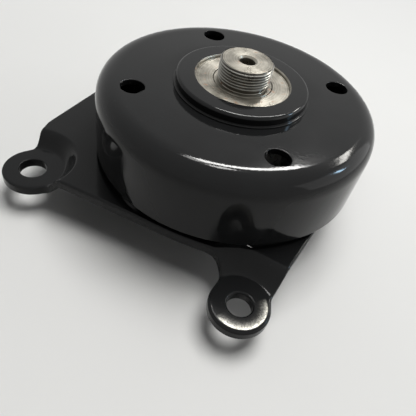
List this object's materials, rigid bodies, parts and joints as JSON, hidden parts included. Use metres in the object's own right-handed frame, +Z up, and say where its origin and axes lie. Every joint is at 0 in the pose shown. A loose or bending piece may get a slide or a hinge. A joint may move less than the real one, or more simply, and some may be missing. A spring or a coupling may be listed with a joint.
{
  "type": "fan-drive pulley on bracket",
  "caption": "Black deep-drawn belt pulley with spanner holes, stepped hub and threaded spindle end, running on ball bearings in a stamped bracket with joggled bolt ears.",
  "frame": {"origin": "on the spindle axis, in the plane of the bearing carrier's rear end that the part stands on", "axes": "+Z up the spindle towards its thread, +Y along the bracket towards its two far ears, +X to the side with the near tab"},
  "size_m": [0.168, 0.1821, 0.0834],
  "materials": {
    "black_coat": "glossy black dip coat on pressed steel",
    "bare_steel": "turned bare steel with fine lathe marks",
    "bearing_steel": "ground and polished bearing steel",
    "pressed_steel": "plain pressed steel",
    "seal_rubber": "moulded seal rubber"
  },
  "bodies": {
    "bracket": {"bracket_plate": "black_coat", "bearing_carrier": "bare_steel", "carrier_circlip": "pressed_steel", "rear_cap": "pressed_steel", "front_outer_ring": "bearing_steel", "rear_outer_ring": "bearing_steel", "front_upper_seal": "seal_rubber", "front_lower_seal": "seal_rubber", "rear_upper_seal": "seal_rubber", "rear_lower_seal": "seal_rubber"},
    "pulley": {"pulley_shell": "black_coat", "hub": "black_coat", "spindle": "bare_steel", "front_inner_ring": "bearing_steel", "rear_inner_ring": "bearing_steel", "spacer_sleeve": "bare_steel", "spindle_washer": "pressed_steel", "spindle_circlip": "pressed_steel"},
    "front_cage": {"front_cage": "pressed_steel", "front_ball_1": "bearing_steel", "front_ball_2": "bearing_steel", "front_ball_3": "bearing_steel", "front_ball_4": "bearing_steel", "front_ball_5": "bearing_steel", "front_ball_6": "bearing_steel", "front_ball_7": "bearing_steel", "front_ball_8": "bearing_steel", "front_ball_9": "bearing_steel"},
    "rear_cage": {"rear_cage": "pressed_steel", "rear_ball_1": "bearing_steel", "rear_ball_2": "bearing_steel", "rear_ball_3": "bearing_steel", "rear_ball_4": "bearing_steel", "rear_ball_5": "bearing_steel", "rear_ball_6": "bearing_steel", "rear_ball_7": "bearing_steel", "rear_ball_8": "bearing_steel", "rear_ball_9": "bearing_steel"}
  },
  "joints": [
    {"name": "pulley_spin", "type": "hinge", "parent": "bracket", "child": "pulley", "pos_m": [0, 0, 0.05], "axis": [0, 0, 1], "continuous": true},
    {"name": "front_cage_orbit", "type": "hinge", "parent": "bracket", "child": "front_cage", "pos_m": [0, 0, 0.048], "axis": [0, 0, 1], "continuous": true},
    {"name": "rear_cage_orbit", "type": "hinge", "parent": "bracket", "child": "rear_cage", "pos_m": [0, 0, 0.02], "axis": [0, 0, 1], "continuous": true}
  ],
  "couplings": [
    {"joint": "front_cage_orbit", "follows": "pulley_spin", "ratio": 0.3969},
    {"joint": "rear_cage_orbit", "follows": "pulley_spin", "ratio": 0.3969}
  ]
}
